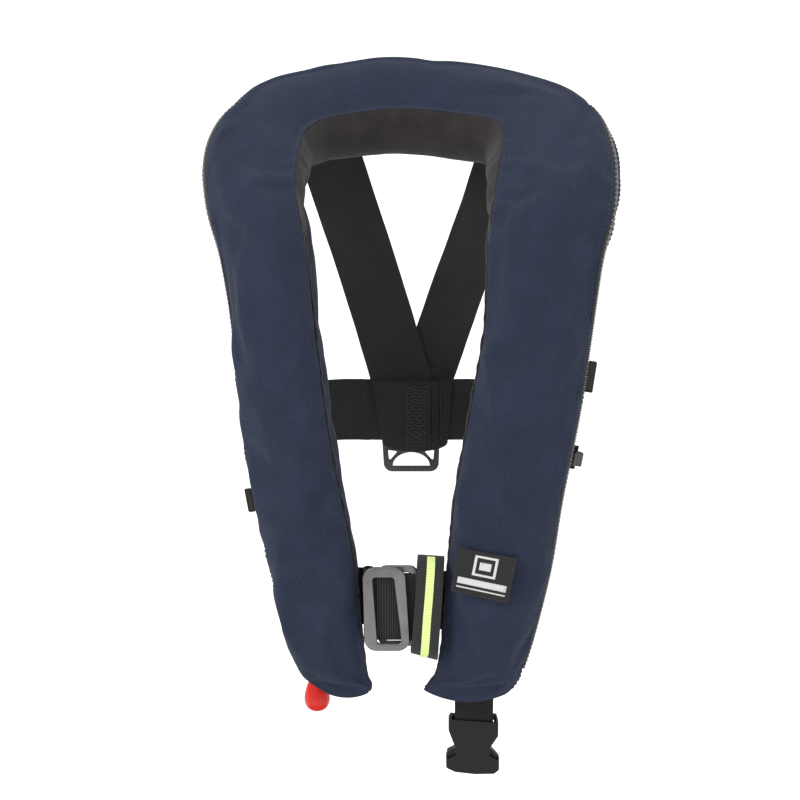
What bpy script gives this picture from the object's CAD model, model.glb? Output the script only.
"""Looks for the inflatable life jacket: cover, lining, zip, webbing, buckles and trim.

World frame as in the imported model: origin at the nape inside the collar, +Z up, -Y towards
the wearer's front. Sizes below are in millimetres and are scaled by MM when meshes are made.
"""

import math
from contextlib import contextmanager

import bmesh
import bpy
import numpy as np
from mathutils import Matrix, Vector, noise


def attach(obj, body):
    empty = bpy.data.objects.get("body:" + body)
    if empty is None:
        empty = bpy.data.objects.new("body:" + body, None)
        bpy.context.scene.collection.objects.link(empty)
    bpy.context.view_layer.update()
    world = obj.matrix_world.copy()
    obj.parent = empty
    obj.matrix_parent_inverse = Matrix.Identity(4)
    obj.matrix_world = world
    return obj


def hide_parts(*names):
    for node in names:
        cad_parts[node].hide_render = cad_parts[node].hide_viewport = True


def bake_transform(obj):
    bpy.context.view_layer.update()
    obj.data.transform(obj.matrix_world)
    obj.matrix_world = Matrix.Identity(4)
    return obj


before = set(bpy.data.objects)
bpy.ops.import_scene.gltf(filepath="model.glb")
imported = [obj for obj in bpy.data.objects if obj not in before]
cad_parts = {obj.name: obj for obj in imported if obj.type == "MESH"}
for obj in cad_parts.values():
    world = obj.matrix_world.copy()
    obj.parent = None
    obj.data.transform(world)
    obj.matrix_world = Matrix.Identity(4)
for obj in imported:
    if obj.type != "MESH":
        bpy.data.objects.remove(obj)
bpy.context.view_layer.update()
MM = 0.001
ROOT = "jacket"
CLOTH_UV = "cloth"  # UV map in metres: x along the piece, y across it
SEED = 11

# ---------------------------------------------------------------- driving dimensions (mm)
CLOTH = 1.0
SEAM_INSET = 4.5
WEB = 1.8
BELT_WIDTH, BACK_BELT_WIDTH = 50.0, 57.0
STRAP_WIDTH, RIGHT_STRAP_WIDTH = 54.0, 48.0

# The horseshoe, from the tip of the left lobe round the collar to the tip of the right one:
# point on the outer edge, point on the inner edge, half thickness, and the angle round the
# section at which the front cover gives way to the lining, or NO_LINING.
NO_LINING = 178.0
STATIONS = [
    ((-76.5, -146, -448.5), (-31, -150, -453), 3.5, NO_LINING),
    ((-86, -144, -441), (-28.8, -152, -445), 8, NO_LINING),
    ((-94, -141, -430), (-33, -155, -431), 15, NO_LINING),
    ((-107, -138, -395), (-37.5, -158, -389), 21, NO_LINING),
    ((-120, -138, -338), (-43, -159, -333), 25, NO_LINING),
    ((-130, -136, -283), (-54, -158, -278), 26, NO_LINING),
    ((-139, -133, -225), (-64, -156, -221), 26, NO_LINING),
    ((-147, -122, -165), (-72, -147, -160), 26, NO_LINING),
    ((-158, -104, -82), (-81, -130, -77), 26, 172),
    ((-167, -78, -28), (-88, -107, -48), 27, 150),
    ((-166, -48, 8), (-87, -78, -30), 27, 135),
    ((-148, -18, 34), (-82, -45, -18), 27, 122),
    ((-116, 12, 51), (-64, -18, -12), 26, 112),
    ((-64, 35, 63), (-33, -6, -10), 25, 108),
    ((0, 46, 69.5), (0, -2, -10), 25, 107),
    ((78, 33, 59), (30, -7, -9.5), 25, 108),
    ((132, 6, 44), (61, -22, -10.5), 26, 112),
    ((164, -28, 30), (72, -48, -20), 27, 122),
    ((178, -62, 3), (72, -82, -34), 28, 135),
    ((178, -94, -35), (70, -111, -56), 28, 152),
    ((168, -117, -79), (68, -130, -80), 27, 174),
    ((158, -134, -145), (65, -145, -143), 27, NO_LINING),
    ((149, -145, -205), (55, -154, -203), 27, NO_LINING),
    ((135, -150, -278), (42, -158, -276), 27, NO_LINING),
    ((126.5, -151, -335), (36, -159, -333), 26, NO_LINING),
    ((114, -149, -393), (32.3, -158, -391), 22, NO_LINING),
    ((103.5, -146, -432), (27.5, -153, -430), 16, NO_LINING),
    ((99.5, -146, -443), (21, -151, -442.5), 8, NO_LINING),
    ((92, -145, -452), (15.2, -150, -450), 3.5, NO_LINING),
]
LINING_FIRST, LINING_LAST = 8, 20
LINING_WRAP = 0.8  # how far the lining goes on round the back, for each degree in front
TIP_STATIONS = 2.0  # this far from either tip, sections lie as the station points say
TIP_SAG = (6.0, 9.5)  # how far the middle of the first and last section hangs down
# Angle round the section at which the zip sits, by station: below 0 it hides behind the cover.
ZIP_TURN = [(0, 0), (2, -6), (7.5, -8), (8.6, 6), (10.4, 8), (11.4, -8), (12, -22), (16.3, -22),
            (17, 5), (17.8, 12.5), (19.6, 13), (20.6, 9), (24, 6), (26.5, 1), (28, 0)]
ZIP_HALF = 7.0  # degrees of the section that the zip takes on either side of that
RINGS = 10  # rings for each station
TOOTH_PITCH, TOOTH_HALF, TOOTH_HEIGHT = 2.0, 2.3, 2.1
TOOTH_SHIFT = 0.55  # every other tooth sits this far to either side
FRONT_COLUMNS, LINING_COLUMNS, BACK_COLUMNS = 30, 8, 20

BELT_LEFT = [
    (-31.5, -133.5, -373), (-46, -131, -372.5), (-62, -120.5, -371), (-84, -105, -365),
    (-105, -80, -351), (-112, -40, -325), (-109, 10, -290), (-97.5, 52, -263),
]
BELT_BACK = [
    (-104.2, 38, -271.5), (-100, 52.8, -262.8), (-93, 60.5, -258), (-80, 67, -256.5),
    (-62, 75.5, -256.5), (-36, 78.9, -257), (5, 78.9, -257), (50, 78.9, -257),
    (64, 75.5, -256.5), (78, 67, -256.5), (89, 61, -258), (96.6, 53.8, -262.8),
    (101, 39.4, -271.5),
]
BELT_RIGHT = [
    (94, 53, -263), (107, 10, -290), (112, -40, -325), (105, -80, -351), (84, -105, -365),
    (62, -120.5, -371), (48.3, -131, -372.5), (40.6, -136.2, -373), (34.7, -141.8, -373),
    (29.7, -147.3, -373), (23.6, -151.5, -373), (14.5, -155.3, -373),
]
STRAP_LEFT = [
    (-76, 17, 13), (-73, 37, 3), (-68, 50, -14), (-57, 54, -50), (-42, 63, -97), (-28, 72, -143),
    (-13, 79, -195), (-4, 80.9, -228), (2, 80.9, -250), (5, 80.9, -278),
]
STRAP_RIGHT = [
    (98, 12, 13), (95, 34, 4), (90, 50, -14), (79, 55, -50), (64, 65, -97), (48, 75, -143),
    (31, 82, -195), (20, 83.0, -228), (12, 83.0, -250), (8, 83.0, -278),
]

FRAME_TOP, FRAME_BOTTOM = -337.5, -410.0
OUTER_FRAME = [(-34.0, FRAME_BOTTOM), (4.6, FRAME_BOTTOM), (-0.3, FRAME_TOP), (-36.0, FRAME_TOP)]
OUTER_WINDOW = [(-23.3, -403.4), (-3.0, -403.4), (-9.6, -346.6), (-27.4, -346.6)]
OUTER_FRAME_Y = -169.2
BELT_END_WIDTH = 56.5
INNER_FRAME_X, INNER_FRAME_Y = (-22.8, 10.5), -161.5
BAR_AXIS, BAR_RADIUS = (-30.5, -162.5), 1.9
TOGGLE_TOP = Vector((-75.5, -121, -438))
LANYARD_HOLE, LANYARD_RADIUS = Vector((-84, -127.5, -414)), 1.2
RING_AXIS = Vector((5, 91.2, -278))
SOCKET_BAR = Vector((59, -126, -482))
SOCKET_DEEP = 13.0


# ---------------------------------------------------------------- curves and meshes
def smooth_points(points, steps):
    """Catmull-Rom curve through the points, steps spans between each pair."""
    pts = np.array(points, float)
    pts = np.vstack([2 * pts[0] - pts[1], pts, 2 * pts[-1] - pts[-2]])
    out = []
    for i in range(1, len(pts) - 2):
        a, b, c, d = pts[i - 1 : i + 3]
        for k in range(steps):
            t = k / steps
            out.append(0.5 * (2 * b + (c - a) * t + (2 * a - 5 * b + 4 * c - d) * t**2
                              + (3 * b - a - 3 * c + d) * t**3))
    out.append(pts[-2])
    return np.array(out)


def tangents(points):
    """Unit direction of the line at each point."""
    t = np.gradient(np.array(points, float), axis=0)
    return t / np.linalg.norm(t, axis=1)[:, None]


def unit(v):
    v = np.array(v, float)
    return v / np.linalg.norm(v)


def unit_rows(v):
    return v / (np.linalg.norm(v, axis=1)[:, None] + 1e-12)


def lengths(points):
    """Distance along the points to each of them."""
    steps = np.linalg.norm(np.diff(points, axis=0), axis=1)
    return np.concatenate([[0.0], np.cumsum(steps)])


def even_points(points, spacing):
    """The same line with a point about every spacing."""
    points = np.array(points, float)
    s = lengths(points)
    count = max(2, int(round(s[-1] / spacing)) + 1)
    at = np.linspace(0, s[-1], count)
    return np.stack([np.interp(at, s, points[:, k]) for k in range(3)], axis=1)


def wander(*at, seed=0.0):
    """Smooth noise from -1 to 1 at up to three coordinates."""
    x, y, z = (list(at) + [0.0, 0.0])[:3]
    return noise.noise(Vector((x + 17.3 * seed + SEED, y - 5.1 * seed, z + 2.7 * seed)))


def add_object(name, data, mat=None):
    """A new object in the scene, with its material if it has one."""
    obj = bpy.data.objects.new(name, data)
    bpy.context.scene.collection.objects.link(obj)
    if mat is not None:
        data.materials.append(mat)
    return obj


def mesh_object(name, points, faces, mat):
    """A mesh from points in mm."""
    data = bpy.data.meshes.new(name)
    data.from_pydata([tuple(Vector(p) * MM) for p in points], [], faces)
    return add_object(name, data, mat)


@contextmanager
def editing(data):
    """The mesh as a bmesh, written back afterwards."""
    bm = bmesh.new()
    bm.from_mesh(data)
    yield bm
    bm.to_mesh(data)
    bm.free()


def smooth_shading(obj, angle):
    """Smooth faces with sharp edges past an angle in degrees."""
    obj.data.shade_smooth()
    obj.data.set_sharp_from_angle(angle=math.radians(angle))
    return obj


def grid_piece(name, rows, along, across, mat, wrap_rows=False, wrap_columns=False):
    """Quads between equal rows of points in mm, with a cloth UV map in metres.

    along has a value for each row and across for each row and column, one more where they wrap.
    """
    rows = np.array(rows, float)
    count, width = rows.shape[:2]
    across = np.array(across, float)
    if across.ndim == 1:
        across = np.tile(across, (len(along), 1))
    faces, uvs = [], []
    for i in range(count if wrap_rows else count - 1):
        for j in range(width if wrap_columns else width - 1):
            i2, j2 = (i + 1) % count, (j + 1) % width
            faces.append((i * width + j, i2 * width + j, i2 * width + j2, i * width + j2))
            for a, b in ((i, j), (i + 1, j), (i + 1, j + 1), (i, j + 1)):
                uvs.append((along[a] * MM, across[a][b] * MM))
    data = bpy.data.meshes.new(name)
    data.from_pydata((rows.reshape(-1, 3) * MM).tolist(), [], faces)
    layer = data.uv_layers.new(name=CLOTH_UV)
    layer.data.foreach_set("uv", np.array(uvs, np.float32).ravel())
    data.shade_smooth()
    return add_object(name, data, mat)


def thicken(obj, thickness, offset=0.0, rounded_rims=True):
    """Cloth thickness in mm; offset -1 keeps it all behind the surface, 0 shares it out."""
    mod = obj.modifiers.new("Thickness", "SOLIDIFY")
    mod.thickness = thickness * MM
    mod.offset = offset
    mod.use_even_offset = False
    if rounded_rims:
        sub = obj.modifiers.new("Round", "SUBSURF")
        sub.levels = sub.render_levels = 1
    return obj


def join(name, objects):
    """One object from several, keeping their materials."""
    bpy.ops.object.select_all(action="DESELECT")
    for obj in objects:
        obj.select_set(True)
    bpy.context.view_layer.objects.active = objects[0]
    bpy.ops.object.join()
    objects[0].name = objects[0].data.name = name
    return objects[0]


def applied(obj):
    """The object with its modifiers, or its curve, turned into a plain mesh."""
    bpy.context.view_layer.update()
    graph = bpy.context.evaluated_depsgraph_get()
    data = bpy.data.meshes.new_from_object(obj.evaluated_get(graph))
    place, name = obj.matrix_world.copy(), obj.name
    bpy.data.objects.remove(obj, do_unlink=True)
    data.transform(place)
    return add_object(name, data)


def finish_piece(obj, body=ROOT, nodes=()):
    """Ride on a body, take a slot's finish and stand for CAD nodes."""
    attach(obj, body)
    if nodes:
        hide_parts(*nodes)
    return obj


# ---------------------------------------------------------------- material nodes
class Paint:
    """One material and short ways to add nodes to it."""

    def __init__(self, name, roughness=0.7, metallic=0.0, **constants):
        self.mat = bpy.data.materials.new(name)
        self.mat.use_nodes = True
        self.tree = self.mat.node_tree
        self.shader = self.tree.nodes["Principled BSDF"]
        self.shader.inputs["Roughness"].default_value = roughness
        self.shader.inputs["Metallic"].default_value = metallic
        for key, value in constants.items():
            self.shader.inputs[key.replace("_", " ")].default_value = value

    def node(self, kind, inputs=(), output=0, **settings):
        made = self.tree.nodes.new(kind)
        for key, value in settings.items():
            setattr(made, key, value)
        for key, value in dict(inputs).items():
            if isinstance(value, bpy.types.NodeSocket):
                self.tree.links.new(value, made.inputs[key])
            else:
                made.inputs[key].default_value = value
        return made.outputs[output]

    def math(self, operation, a, b=0.0):
        return self.node("ShaderNodeMath", {0: a, 1: b}, operation=operation)

    def times(self, a, b):
        return self.math("MULTIPLY", a, b)

    def plus(self, a, b):
        return self.math("ADD", a, b)

    def cloth(self):
        """Millimetres on the cloth as one vector, and along it and across it."""
        uv = self.node("ShaderNodeUVMap", uv_map=CLOTH_UV)
        place = self.node("ShaderNodeVectorMath", {0: uv, 3: 1000.0}, operation="SCALE")
        axes = self.node("ShaderNodeSeparateXYZ", {0: place}).node.outputs
        return place, axes[0], axes[1]

    def place(self):
        """Millimetres in the piece's own space."""
        where = self.node("ShaderNodeTexCoord", output=3)
        return self.node("ShaderNodeVectorMath", {0: where, 3: 1000.0}, operation="SCALE")

    def wave(self, value, pitch, phase=0.0):
        """-1 to 1 over each pitch."""
        turned = self.math("MULTIPLY_ADD", value, 2 * math.pi / pitch)
        turned.node.inputs[2].default_value = phase
        return self.math("SINE", turned)

    def noise(self, vector, size, detail=2.0, roughness=0.5):
        return self.node("ShaderNodeTexNoise", {"Vector": vector, "Scale": 1.0 / size,
                                                "Detail": detail, "Roughness": roughness})

    def ramp(self, value, low, high, to_low=0.0, to_high=1.0):
        return self.node("ShaderNodeMapRange", {"Value": value, "From Min": low, "From Max": high,
                                                "To Min": to_low, "To Max": to_high})

    def mix(self, factor, a, b):
        def colour(c):
            return c if isinstance(c, bpy.types.NodeSocket) else (*c, 1.0)
        return self.node("ShaderNodeMix", {0: factor, 6: colour(a), 7: colour(b)}, output=2,
                         data_type="RGBA")

    def colour(self, socket):
        self.tree.links.new(socket, self.shader.inputs["Base Color"])

    def rough(self, socket):
        self.tree.links.new(socket, self.shader.inputs["Roughness"])

    def bump(self, *heights):
        """Heights as (socket, distance in mm, strength), stacked on each other."""
        normal = None
        for height, distance, strength in heights:
            inputs = {"Height": height, "Distance": distance * MM, "Strength": strength}
            if normal is not None:
                inputs["Normal"] = normal
            normal = self.node("ShaderNodeBump", inputs)
        self.tree.links.new(normal, self.shader.inputs["Normal"])
        return self.mat


def woven(name, dark, light):
    """Plain woven cover cloth: small quincunx of dark gaps between the yarns."""
    pitch, rough = 3.1, 0.86
    p = Paint(name, rough, Sheen_Weight=0.05, Sheen_Roughness=0.5, Specular_IOR_Level=0.25)
    cloth, x, y = p.cloth()
    weave = p.times(p.wave(x, pitch), p.wave(y, pitch))
    yarns = p.math("MAXIMUM", p.wave(x, pitch / 2, 0.7), p.wave(y, pitch / 2, 0.2))
    patches = p.noise(cloth, 34.0, 3.0)
    fine = p.noise(cloth, 3.0, 2.0)
    lit = p.ramp(p.plus(p.times(weave, 0.52), p.times(p.math("SUBTRACT", fine, 0.5), 0.8)),
                 -0.6, 0.6)
    base = p.mix(lit, dark, light)
    faded = tuple(c * 1.2 + 0.002 for c in light)
    p.colour(p.mix(p.ramp(patches, 0.45, 0.75, 0.0, 0.5), base, faded))
    p.rough(p.ramp(patches, 0.3, 0.7, rough - 0.05, rough + 0.05))
    creases = p.noise(cloth, 9.0, 3.0, 0.6)
    return p.bump((weave, 0.34, 0.8), (yarns, 0.10, 0.4), (creases, 0.6, 0.35))


def brushed_lining(name, dark, light):
    """Soft brushed knit: fuzzy, with loose soft creases."""
    p = Paint(name, 0.96, Sheen_Weight=0.10, Sheen_Roughness=0.6, Specular_IOR_Level=0.1)
    cloth, x, y = p.cloth()
    fuzz = p.noise(cloth, 1.4, 3.0, 0.7)
    patches = p.noise(cloth, 22.0, 3.0)
    knit = p.times(p.wave(x, 1.5), p.wave(y, 1.1))
    lit = p.ramp(p.plus(p.times(fuzz, 0.5), p.times(patches, 0.6)), 0.3, 0.8)
    p.colour(p.mix(lit, dark, light))
    p.rough(p.ramp(patches, 0.2, 0.8, 0.9, 1.0))
    return p.bump((knit, 0.1, 0.3), (fuzz, 0.25, 0.5), (patches, 1.2, 0.3))


def webbing_paint(name, dark, light, rib=1.6, chevron=9.0):
    """Woven tape: slanted ribs across it in herringbone columns, with a little dust."""
    p = Paint(name, 0.8, Sheen_Weight=0.05, Sheen_Roughness=0.4, Specular_IOR_Level=0.3)
    cloth, x, y = p.cloth()
    column = p.math("PINGPONG", y, chevron / 2)
    slanted = p.plus(x, p.times(column, 0.55))
    twill = p.wave(slanted, rib)
    strands = p.wave(y, rib * 0.8)
    dust = p.noise(cloth, 5.0, 4.0, 0.65)
    worn = p.noise(cloth, 40.0, 2.0)
    lit = p.ramp(p.plus(p.times(twill, 0.22), p.plus(p.times(dust, 0.7), p.times(worn, 0.5))),
                 0.3, 0.9)
    p.colour(p.mix(lit, dark, light))
    p.rough(p.ramp(dust, 0.3, 0.7, 0.72, 0.88))
    return p.bump((twill, 0.18, 0.7), (strands, 0.10, 0.5), (dust, 0.12, 0.25))


def ribbed(name, dark, light, pitch):
    """Bold cords side by side across a ribbed tape."""
    p = Paint(name, 0.78, Sheen_Weight=0.15, Sheen_Roughness=0.4, Specular_IOR_Level=0.3)
    cloth, x, y = p.cloth()
    ridge = p.ramp(p.wave(x, pitch), -1.0, 0.6)
    twist = p.wave(p.plus(y, p.times(x, 0.6)), pitch * 0.7)
    dust = p.noise(cloth, 6.0, 4.0, 0.6)
    lit = p.times(ridge, p.ramp(dust, 0.2, 0.8, 0.55, 1.0))
    p.colour(p.mix(lit, dark, light))
    p.rough(p.ramp(dust, 0.3, 0.7, 0.68, 0.86))
    return p.bump((ridge, 0.5, 0.8), (twist, 0.12, 0.5), (dust, 0.1, 0.3))


def zip_tape_paint(name):
    """Fine dark knit."""
    p = Paint(name, 0.88, Sheen_Weight=0.2, Specular_IOR_Level=0.25)
    cloth, x, y = p.cloth()
    knit = p.times(p.wave(p.plus(x, y), 1.1), p.wave(y, 0.9))
    dust = p.noise(cloth, 4.0, 3.0)
    p.colour(p.mix(p.ramp(dust, 0.3, 0.7), (0.012, 0.013, 0.016), (0.028, 0.029, 0.034)))
    return p.bump((knit, 0.12, 0.6), (dust, 0.1, 0.3))


def moulded(name, colour, roughness=0.45, texture=0.08, grain=0.6, coat=0.0, variation=0.2,
            specular=0.5):
    """Moulded plastic: fine spark texture, slight flow marks and duller, lighter scuffs."""
    p = Paint(name, roughness, Coat_Weight=coat, Coat_Roughness=0.12, Specular_IOR_Level=specular)
    place = p.place()
    spark = p.noise(place, grain, 2.0, 0.7)
    flow = p.noise(place, 14.0, 3.0)
    scuff = p.ramp(p.noise(place, 5.0, 6.0, 0.75), 0.58, 0.72)
    darker = tuple(c * (1 - variation) for c in colour)
    lighter = tuple(min(1.0, c * (1 + variation) + 0.004) for c in colour)
    base = p.mix(p.ramp(flow, 0.3, 0.7), darker, colour)
    p.colour(p.mix(p.times(scuff, 0.5), base, lighter))
    p.rough(p.plus(p.ramp(flow, 0.3, 0.7, roughness - 0.06, roughness + 0.04),
                   p.times(scuff, 0.12)))
    return p.bump((spark, texture, 0.5), (flow, 0.25, 0.15))


def metal(name, dark, light, roughness=0.38, squash=(1.0, 1.0, 0.06), wear=0.4):
    """Satin metal: brush lines along the squashed axis, cloudy tone, brighter handled spots."""
    p = Paint(name, roughness, 1.0)
    place = p.place()
    lines = p.node("ShaderNodeVectorMath", {0: place, 1: squash}, operation="MULTIPLY")
    brush = p.noise(lines, 0.9, 3.0, 0.6)
    cloud = p.noise(place, 16.0, 3.0)
    pits = p.ramp(p.noise(place, 1.1, 4.0, 0.7), 0.68, 0.80)
    polish = p.ramp(p.noise(place, 18.0, 3.0, 0.5), 0.4, 0.8)
    tone = p.ramp(p.plus(p.times(brush, 0.5), p.times(cloud, 0.6)), 0.35, 0.75)
    base = p.mix(tone, dark, light)
    bright = tuple(min(1.0, c * (1 + wear)) for c in light)
    shine = p.mix(p.times(polish, 0.6), base, bright)
    p.colour(p.mix(p.times(pits, 0.5), shine, tuple(c * 0.5 for c in dark)))
    p.rough(p.math("SUBTRACT", p.ramp(brush, 0.3, 0.7, roughness - 0.05, roughness + 0.08),
                   p.times(polish, 0.10)))
    return p.bump((brush, 0.05, 0.35), (pits, 0.08, -0.3))


def thread(name, colour):
    """Sewing thread with fibres a little darker than its colour."""
    p = Paint(name, 0.7, Sheen_Weight=0.2)
    place = p.place()
    fibre = p.noise(place, 0.5, 3.0, 0.7)
    p.colour(p.mix(p.ramp(fibre, 0.3, 0.7), tuple(c * 0.6 for c in colour), colour))
    return p.bump((fibre, 0.12, 0.6))


def neon_paint(name):
    """Woven neon yellow with a satin stripe look, greener in the folds."""
    p = Paint(name, 0.6, Sheen_Weight=0.2)
    cloth, x, _ = p.cloth()
    ribs = p.wave(x, 2.2)
    grime = p.noise(cloth, 12.0, 3.0)
    base = p.mix(p.ramp(ribs, -1, 1, 0.35, 1.0), (0.50, 0.80, 0.12), (0.86, 0.97, 0.42))
    p.colour(p.mix(p.ramp(grime, 0.5, 0.8, 0.0, 0.5), base, (0.55, 0.85, 0.14)))
    p.shader.inputs["Emission Color"].default_value = (0.75, 1.0, 0.3, 1)
    p.shader.inputs["Emission Strength"].default_value = 0.10
    return p.bump((ribs, 0.25, 0.6), (grime, 0.2, 0.2))


def coated(name, colour):
    """Coated bladder fabric: smooth film over a fine weave, with crease sheen."""
    p = Paint(name, 0.45, Coat_Weight=0.3, Coat_Roughness=0.2)
    cloth, x, y = p.cloth()
    weave = p.times(p.wave(x, 0.9), p.wave(y, 0.9))
    crease = p.noise(cloth, 12.0, 4.0, 0.6)
    p.colour(p.mix(p.ramp(crease, 0.3, 0.7), tuple(c * 0.8 for c in colour), colour))
    return p.bump((weave, 0.06, 0.4), (crease, 1.5, 0.4))


def make_paints():
    """Every material of the jacket, by a short key."""
    return {
        "navy": woven("navy_cover_cloth", (0.011, 0.0165, 0.036), (0.024, 0.034, 0.066)),
        "navy_back": woven("navy_back_cloth", (0.010, 0.015, 0.033), (0.021, 0.030, 0.058)),
        "lining": brushed_lining("collar_lining_cloth", (0.017, 0.0145, 0.0148),
                                 (0.040, 0.034, 0.035)),
        "web": webbing_paint("black_webbing_cloth", (0.0125, 0.0125, 0.0125),
                             (0.029, 0.029, 0.030)),
        "crotch": webbing_paint("crotch_webbing_cloth", (0.008, 0.0075, 0.007),
                                (0.020, 0.018, 0.017), 1.9),
        "ribbed": ribbed("ribbed_belt_cloth", (0.004, 0.004, 0.004), (0.040, 0.040, 0.040), 2.1),
        "loop": ribbed("keeper_loop_cloth", (0.015, 0.015, 0.016), (0.045, 0.045, 0.046), 1.7),
        "tape": zip_tape_paint("zip_tape_knit"),
        "zip": moulded("zip_teeth_grey", (0.24, 0.24, 0.235), 0.5, 0.03),
        "thread_dark": thread("thread_black", (0.020, 0.020, 0.022)),
        "thread_grey": thread("thread_grey", (0.045, 0.045, 0.047)),
        "thread_navy": thread("thread_navy", (0.030, 0.040, 0.070)),
        "thread_white": thread("thread_white", (0.82, 0.82, 0.80)),
        "label": webbing_paint("label_weave", (0.018, 0.018, 0.019), (0.036, 0.036, 0.038),
                               0.9, 3.0),
        "neon": neon_paint("neon_yellow_weave"),
        "red": moulded("toggle_red_gloss", (0.70, 0.020, 0.010), 0.32, 0.02, coat=0.12,
                       variation=0.12, specular=0.25),
        "buckle": metal("buckle_satin_metal", (0.145, 0.141, 0.138), (0.20, 0.196, 0.192), 0.42,
                        wear=0.15),
        "ring": metal("ring_dark_coating", (0.075, 0.077, 0.083), (0.13, 0.133, 0.142), 0.46,
                      (0.06, 1.0, 1.0), 0.35),
        "plastic": moulded("socket_black_acetal", (0.011, 0.011, 0.0105), 0.5, 0.08, 0.5,
                           variation=0.3, specular=0.25),
        "black": moulded("inflator_black", (0.020, 0.020, 0.020), 0.5, 0.08),
        "rubber": moulded("tube_rubber_black", (0.016, 0.016, 0.017), 0.75, 0.12, 1.0),
        "yellow": moulded("cap_yellow", (0.72, 0.50, 0.04), 0.45, 0.06),
        "green": moulded("indicator_green", (0.03, 0.42, 0.08), 0.35, 0.03, coat=0.3),
        "orange": moulded("whistle_orange", (0.82, 0.22, 0.03), 0.42, 0.05),
        "zinc": metal("cylinder_zinc", (0.42, 0.42, 0.43), (0.58, 0.58, 0.58), 0.36),
        "steel": metal("small_bright_steel", (0.40, 0.40, 0.41), (0.60, 0.60, 0.61), 0.28),
        "brass": metal("eyelet_brass", (0.36, 0.24, 0.08), (0.55, 0.40, 0.15), 0.32),
        "cord": webbing_paint("black_braid", (0.008, 0.008, 0.008), (0.026, 0.026, 0.027),
                              1.2, 2.4),
        "tab": webbing_paint("side_tab_weave", (0.020, 0.018, 0.016), (0.045, 0.041, 0.037), 1.3),
        "slider": metal("slider_dark_metal", (0.05, 0.05, 0.05), (0.10, 0.10, 0.10), 0.4),
        "bladder": coated("bladder_yellow", (0.80, 0.58, 0.03)),
    }


# ---------------------------------------------------------------- the horseshoe cover
def horseshoe_rings():
    """Rings of the horseshoe: centre, half width, half thickness, directions, lining angle."""
    table = [(*o, *i, thick, edge) for o, i, thick, edge in STATIONS]
    table = smooth_points(table, RINGS)
    outer, inner = table[:, 0:3], table[:, 3:6]
    middle = (outer + inner) / 2
    along = tangents(middle)
    station = np.arange(len(table)) / RINGS
    from_tip = np.minimum(station, station[-1] - station)
    square = np.clip(from_tip / TIP_STATIONS - 1.0, 0.0, 1.0)
    sag = np.clip(1.0 - from_tip, 0.0, 1.0) * np.where(station < station[-1] / 2, *TIP_SAG)
    width = outer - inner
    width -= along * ((width * along).sum(1) * square)[:, None]
    half = np.linalg.norm(outer - inner, axis=1) / 2
    width /= np.linalg.norm(width, axis=1)[:, None]
    face = np.cross(along, width)
    face /= np.linalg.norm(face, axis=1)[:, None]
    turn = np.interp(station, *np.array(ZIP_TURN, float).T)
    return {"sag": sag, "turn": turn, "reach": ZIP_HALF * np.clip(from_tip / 3, 0.15, 1.0),
            "centre": middle, "half": half, "thick": table[:, 6],
            "edge": np.minimum(table[:, 7], NO_LINING), "width": width, "face": face,
            "along": along, "s": lengths(middle)}


def section(rings, i, degrees):
    """A point of the flattened section; 0 is the outer edge, 90 the front, 180 inner."""
    gap, power = 0.7, 0.88
    a = math.radians(degrees)
    c, s = math.cos(a), math.sin(a)
    half = rings["half"][i] - SEAM_INSET / 2
    thick = rings["thick"][i]
    across = half * math.copysign(abs(c) ** power, c) - SEAM_INSET / 2
    deep = thick * math.copysign(abs(s) ** power, s) + gap * math.tanh(6 * s)
    drop = np.array((0.0, 0.0, rings["sag"][i] * (1.0 - (across / rings["half"][i]) ** 2)))
    return rings["centre"][i] + rings["width"][i] * across + rings["face"][i] * deep - drop


def cover_points(rings):
    """Rings x columns of the whole cover: front, lining, back, in mm."""
    rows = []
    for i in range(len(rings["half"])):
        edge = rings["edge"][i]
        back = 360.0 - NO_LINING + (NO_LINING - edge) * LINING_WRAP
        angles = np.concatenate([
            np.linspace(rings["turn"][i] + rings["reach"][i], edge, FRONT_COLUMNS + 1),
            np.linspace(edge, back, LINING_COLUMNS + 1)[1:],
            np.linspace(back, 360 + rings["turn"][i] - rings["reach"][i], BACK_COLUMNS + 1)[1:],
        ])
        rows.append([section(rings, i, a) for a in angles])
    return np.array(rows)


def grid_normals(points):
    """Unit normals of an open grid of points, pointing away from the tube's inside."""
    du, dv = np.gradient(points, axis=0), np.gradient(points, axis=1)
    n = np.cross(dv, du)
    n /= np.linalg.norm(n, axis=2)[:, :, None] + 1e-12
    centre = points.mean(1, keepdims=True)
    if ((points - centre) * n).sum(2).mean() < 0:
        n = -n
    return n


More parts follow.
